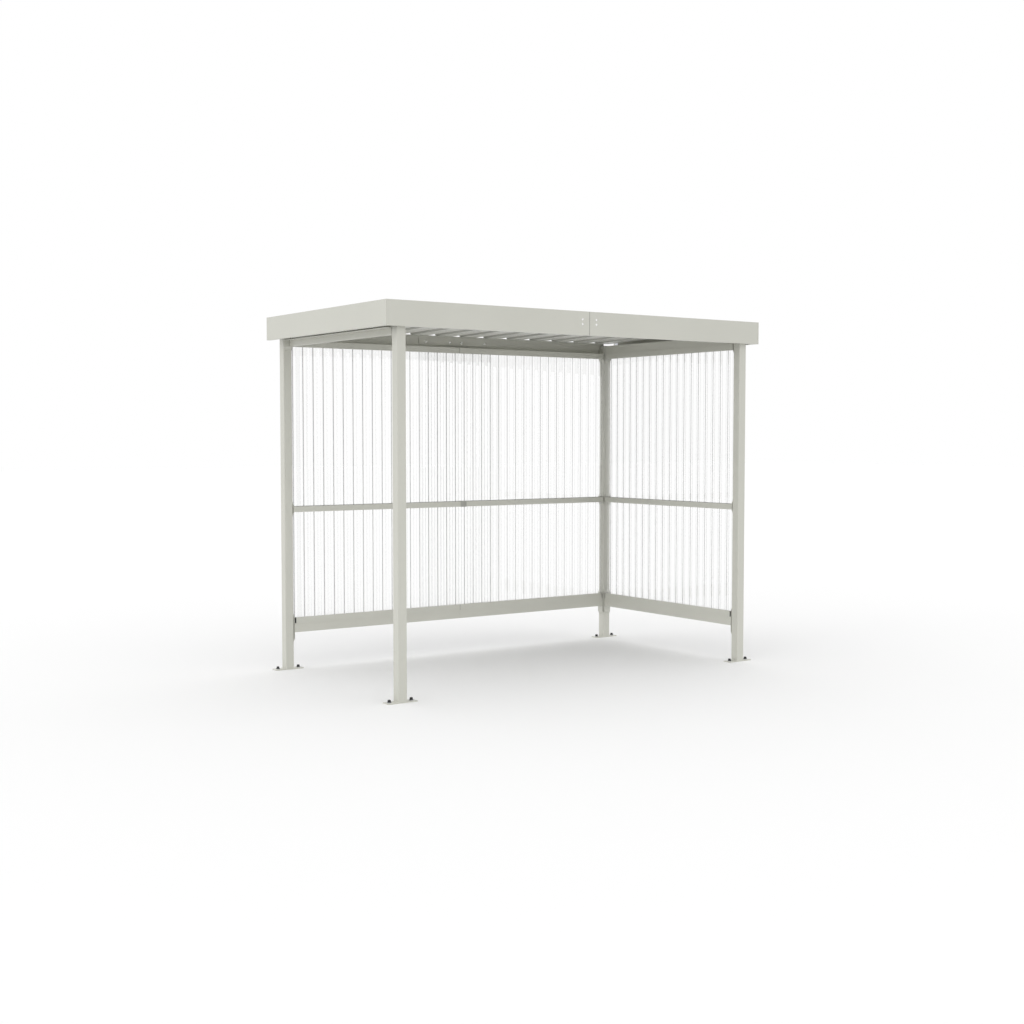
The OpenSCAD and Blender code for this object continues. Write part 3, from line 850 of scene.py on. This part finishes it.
def makeEndCaps(look):
    backLow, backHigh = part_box("back_bottom_rail_left")
    rightLow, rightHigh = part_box("right_bottom_rail")
    black = boxEnds("back_bottom_rail_left", 0, backLow.y, [-1], backHigh.z)
    black += boxEnds("back_bottom_rail_right", 0, backLow.y, [1], backHigh.z)
    black += boxEnds("right_bottom_rail", 1, rightLow.x, [-1, 1], rightHigh.z)
    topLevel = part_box("back_top_rail_left")[1].z
    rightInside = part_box("right_top_beam")[0].x
    painted = boxEnds("right_top_beam", 1, rightInside, [-1, 1], topLevel)
    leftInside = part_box("left_top_beam")[1].x - look["boxDepth"]
    painted += boxEnds("left_top_beam", 1, leftInside, [-1, 1], topLevel)
    growCaps("rail_end_caps", black, look, look["blackThickness"], blackPlastic)
    growCaps("beam_end_caps", painted, look, look["steelThickness"], paint)


makeEndCaps(endCapLook)

boardRivetLook = {
    "across": 0.055,  # from the joint to each column of rivets
    "levels": (0.070, 0.100),  # above the lower edge of the board
    "head": {"sides": 24, "bottom": 0.0074, "top": 0.0046, "height": 0.0019, "edge": 0.0006},
}


def makeBoardRivets(look):
    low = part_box("front_fascia_left")[0]
    places = [(Vector((side * look["across"], low.y, low.z + level)), towardsFront)
              for side in (-1, 1) for level in look["levels"]]
    growFixings("front_board_rivets", places, look["head"], brightMetal)


makeBoardRivets(boardRivetLook)

backBoltLook = {
    "across": (0.050, 0.250),
    "level": 0.040,  # above the lower edge of the board
    "head": {"sides": 6, "bottom": 0.0066, "top": 0.0062, "height": 0.0036, "edge": 0.0005,
             "seed": 3},
    "washer": {"sides": 28, "bottom": 0.0105, "top": 0.0100, "height": 0.0018, "edge": 0.0005},
    "nut": {"sides": 6, "bottom": 0.0096, "top": 0.0090, "height": 0.0040, "lift": 0.0018,
            "edge": 0.0008, "seed": 8},
    "dome": {"sides": 24, "bottom": 0.0082, "top": 0.0042, "height": 0.0048, "lift": 0.0056,
             "edge": 0.0018},
}


def makeBackBolts(look):
    boardLow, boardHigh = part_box("back_fascia_left")
    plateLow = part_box("back_fascia_splice")[0]
    level = boardLow.z + look["level"]
    outside, inside = [], []
    for side in (-1, 1):
        for reach in look["across"]:
            outside.append((Vector((side * reach, boardHigh.y, level)), towardsBack))
            inside.append((Vector((side * reach, plateLow.y, level)), towardsFront))
    growFixings("back_board_bolts", outside, look["head"], zinc)
    growFixings("back_bolt_washers", inside, look["washer"], brightMetal)
    growFixings("back_bolt_nuts", inside, look["nut"], brightMetal)
    growFixings("back_bolt_domes", inside, look["dome"], brightMetal)


makeBackBolts(backBoltLook)

sealLook = {
    "radius": 0.0011,
    "jointRadius": 0.0009,
    "step": 0.012,
    "unevenness": 0.06,
    "rippleScale": 60.0,
    "sides": 8,
}


def makeSeals(look):
    # black rubber beads: a dark line along the top of the middle rails, and beads of sealant in the
    # joints of rails and boards
    leftLow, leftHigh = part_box("back_mid_rail_left")
    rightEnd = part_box("back_mid_rail_right")[1].x
    sideLow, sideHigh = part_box("right_mid_rail")
    level = leftHigh.z
    points = [Vector((leftLow.x, leftLow.y, level)), Vector((rightEnd, leftLow.y, level)),
              Vector((sideLow.x, sideLow.y, level)), Vector((sideLow.x, sideHigh.y, level))]
    growBeads("mid_rail_top_beads", look, look["radius"], points, [(0, 1), (2, 3)], rubber)
    points, lines = [], []
    for name in ("front_fascia_left", "back_bottom_rail_left", "back_top_rail_left"):
        low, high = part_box(name)
        x = (high.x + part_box(name.replace("left", "right"))[0].x) / 2
        bottom = high.z - endCapLook["boxHeight"] if "rail" in name else low.z
        lines.append((len(points), len(points) + 1))
        points += [Vector((x, low.y, bottom)), Vector((x, low.y, high.z))]
    growBeads("joint_seals", look, look["jointRadius"], points, lines, rubber)


makeSeals(sealLook)

sleeveSize = {"start": 0.006, "length": 0.050, "wall": 0.0012}


def makeSleeve(size):
    # grey sleeve over the joint of the middle rail, open towards the sheets
    low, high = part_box("back_mid_rail_right")
    x0, x1 = low.x + size["start"], low.x + size["start"] + size["length"]
    outline = [(high.y, high.z), (low.y, high.z), (low.y, low.z), (high.y, low.z)]
    points = [(x, y, z) for x in (x0, x1) for y, z in outline]
    faces = [(i, i + 1, i + 5, i + 4) for i in range(3)]
    mesh = bpy.data.meshes.new("sleeveBlank")
    mesh.from_pydata(points, [], faces)
    mesh.materials.append(greySleeve)
    blank = bpy.data.objects.new("sleeveBlank", mesh)
    bpy.context.scene.collection.objects.link(blank)
    front = min(mesh.polygons, key=lambda face: face.center.y)
    wall = blank.modifiers.new("wall", "SOLIDIFY")
    wall.thickness = size["wall"]
    wall.offset = 1.0 if front.normal.y < 0 else -1.0  # the wall grows away from the rail
    wall.use_even_offset = True
    edge = blank.modifiers.new("roundEdges", "BEVEL")
    edge.width = size["wall"] / 3
    edge.segments = edgeSegments
    addPiece("mid_rail_sleeve", plainMesh(blank, "mid_rail_sleeve", pieceSmooth))
    print("mid_rail_sleeve made")


makeSleeve(sleeveSize)

screwLook = {
    "seal": {"sides": 20, "bottom": 0.0080, "top": 0.0072, "height": 0.0022, "edge": 0.0003},
    "flange": {"sides": 20, "bottom": 0.0068, "top": 0.0060, "height": 0.0010, "lift": 0.0021,
               "edge": 0.0002},
    "head": {"sides": 6, "bottom": 0.0046, "top": 0.0044, "height": 0.0048, "lift": 0.0028,
             "edge": 0.0004},
}


def growScrews(kind, places, look, seed):
    # sheet screws: a rubber seal, a round flange and a six sided head
    growFixings(kind + "_screw_seals", places, look["seal"], rubber)
    growFixings(kind + "_screw_flanges", places, look["flange"], zinc)
    growFixings(kind + "_screw_heads", places, {**look["head"], "seed": seed}, zinc)


wallScrewLook = {
    "everyFlat": 3,
    "seed": 11,
}


def makeWallScrews(look):
    levels = [middle(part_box("back_mid_rail_left")).z, middle(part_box("back_top_rail_left")).z,
              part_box("back_bottom_rail_left")[1].z - endCapLook["boxHeight"] / 2]
    leftFlats, leftFace = innerFlats("back_wall_sheet_left", 0, 1)
    rightFlats, rightFace = innerFlats("back_wall_sheet_right", 0, 1)
    sideFlats, sideFace = innerFlats("right_wall_sheet", 1, 0)
    places = []
    columns = [((a + b) / 2, leftFace) for a, b in leftFlats if b < rightFlats[0][0]]
    columns += [((a + b) / 2, rightFace) for a, b in rightFlats]
    for x, face in columns[1::look["everyFlat"]]:
        places += [(Vector((x, face + sheetThick, z)), towardsBack) for z in levels]
    for a, b in sideFlats[1::look["everyFlat"]]:
        places += [(Vector((sideFace + sheetThick, (a + b) / 2, z)), towardsRight)
                   for z in levels]
    growScrews("wall", places, screwLook, look["seed"])


makeWallScrews(wallScrewLook)

roofScrewLook = {
    "frontInset": 0.012,  # from the front ends of the sheets
    "backInset": 0.020,
    "lapPitch": 0.45,  # along a side lap, at most
    "wide": 0.100,  # a flat wider than this is a hollow; the open feet of a rib are closer
    "end": 0.003,  # corners this near to an end of a sheet belong to it
    "level": 0.0005,  # corners this close to the lowest belong to a hollow
    "seed": 17,
}


def backProfile(name):
    # corner points of a roof sheet along its back end, seen from behind
    corners = nodes[name].data.vertices
    farthest = max(v.co.y for v in corners)
    return sorted({(round(v.co.x, 5), round(v.co.z, 5)) for v in corners
                   if v.co.y > farthest - roofScrewLook["end"]})


def makeRoofScrews(look):
    sheets = ["roof_sheet_left", "roof_sheet_middle", "roof_sheet_right"]
    low = Vector([min(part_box(n)[0][i] for n in sheets) for i in range(3)])
    high = Vector([max(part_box(n)[1][i] for n in sheets) for i in range(3)])
    hollows = set()
    for name in sheets:
        points = backProfile(name)
        floorLevel = min(z for x, z in points)
        floor = sorted({x for x, z in points if z < floorLevel + look["level"]})
        hollows |= {round((a + b) / 2, 4) for a, b in zip(floor, floor[1:]) if b - a > look["wide"]}
    first = nodes[sheets[0]].data.vertices
    frontLevel = min(v.co.z for v in first if v.co.y < low.y + look["end"])
    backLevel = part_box(sheets[0])[0].z
    slope = (frontLevel - backLevel) / (high.y - low.y)
    normal = Vector((0.0, slope, 1.0)).normalized()
    places = []
    for x in sorted(hollows):
        for y in (low.y + look["frontInset"], high.y - look["backInset"]):
            top = backLevel + slope * (high.y - y) + sheetThick
            places.append((Vector((x, y, top)), normal))
    count = int((high.y - low.y) / look["lapPitch"]) + 1
    for name, following in zip(sheets, sheets[1:]):
        x = (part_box(name)[1].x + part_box(following)[0].x) / 2
        crest = max(z for px, z in backProfile(following) if abs(px - x) < look["wide"] / 2)
        for step in range(count):
            y = low.y + (high.y - low.y) * (step + 0.5) / count
            places.append((Vector((x, y, crest + slope * (high.y - y))), normal))
    growScrews("roof", places, screwLook, look["seed"])


makeRoofScrews(roofScrewLook)

studio = {
    "floorSize": 120.0,
    "floorSeen": 0.925,  # floor colour as the camera, gloss and glass see it
    "bounceNear": 0.78,  # floor colour for the light it throws back, near the shelter
    "bounceFar": 0.58,
    "nearReach": 2.0,
    "farReach": 8.0,
    "skySeen": 1.0,  # white where it is looked at
    "skyHorizon": 0.98,  # the light it gives, level and from straight above
    "skyTop": 1.10,
    "keyTurn": 82.0,  # degrees round from -Y towards -X
    "keyHeight": 12.0,  # degrees above the ground
    "keyLevel": 0.42,
    "keySpread": 60.0,  # degrees across, which keeps its shadows soft
}


def seenDirectly(tree):
    # 1 for what the camera sees, also in gloss and through glass; 0 for light on its way
    path = addNode(tree, "ShaderNodeLightPath")
    seen = (path, "Is Camera Ray")
    for kind in ("Is Glossy Ray", "Is Transmission Ray"):
        seen = mathNode(tree, "MAXIMUM", seen, (path, kind))
    return seen


def makeFloor(setup):
    half = setup["floorSize"] / 2
    mesh = bpy.data.meshes.new("floor")
    mesh.from_pydata([(-half, -half, 0), (half, -half, 0), (half, half, 0), (-half, half, 0)],
                     [], [(0, 1, 2, 3)])
    floor = bpy.data.objects.new("floor", mesh)
    bpy.context.scene.collection.objects.link(floor)
    material, tree, shader = newMaterial("paleFloor")
    shader.inputs["Roughness"].default_value = 1.0
    shader.inputs["Specular IOR Level"].default_value = 0.0
    place = addNode(tree, "ShaderNodeTexCoord")
    reach = addNode(tree, "ShaderNodeVectorMath", operation="LENGTH")
    link(tree, place, "Object", reach, 0)
    bounce = addNode(tree, "ShaderNodeMapRange", interpolation_type="SMOOTHSTEP", inputs={
        "From Min": setup["nearReach"], "From Max": setup["farReach"],
        "To Min": setup["bounceNear"], "To Max": setup["bounceFar"]})
    link(tree, reach, "Value", bounce, "Value")
    shown = mixColours(tree, (bounce, "Result"), grey(setup["floorSeen"]), seenDirectly(tree))
    link(tree, *shown, shader, "Base Color")
    mesh.materials.append(material)


def makeSky(setup):
    world = bpy.data.worlds.new("studioSky")
    bpy.context.scene.world = world
    world.use_nodes = True
    tree = world.node_tree
    back = next(n for n in tree.nodes if n.type == "BACKGROUND")
    back.inputs["Color"].default_value = (*grey(1.0), 1.0)
    place = addNode(tree, "ShaderNodeTexCoord")
    split = addNode(tree, "ShaderNodeSeparateXYZ")
    link(tree, place, "Generated", split, "Vector")
    rise = addNode(tree, "ShaderNodeMapRange", interpolation_type="SMOOTHSTEP", inputs={
        "From Min": 0.0, "From Max": 1.0,
        "To Min": setup["skyHorizon"], "To Max": setup["skyTop"]})
    link(tree, split, "Z", rise, "Value")
    # sockets 2 and 3 take the two numbers of this mix
    level = addNode(tree, "ShaderNodeMix", data_type="FLOAT", inputs={3: setup["skySeen"]})
    link(tree, *seenDirectly(tree), level, 0)
    link(tree, rise, "Result", level, 2)
    link(tree, level, 0, back, "Strength")


def makeKey(setup):
    data = bpy.data.lights.new("softKey", "SUN")
    data.energy = setup["keyLevel"]
    data.angle = math.radians(setup["keySpread"])
    lamp = bpy.data.objects.new("softKey", data)
    bpy.context.scene.collection.objects.link(lamp)
    turn, height = math.radians(setup["keyTurn"]), math.radians(setup["keyHeight"])
    towards = Vector((-math.sin(turn) * math.cos(height), -math.cos(turn) * math.cos(height),
                      math.sin(height)))
    lamp.rotation_mode = "QUATERNION"
    lamp.rotation_quaternion = towards.to_track_quat("Z", "Y")


makeFloor(studio)
makeSky(studio)
makeKey(studio)
bpy.context.scene.view_settings.view_transform = "Standard"
print("studio ready")
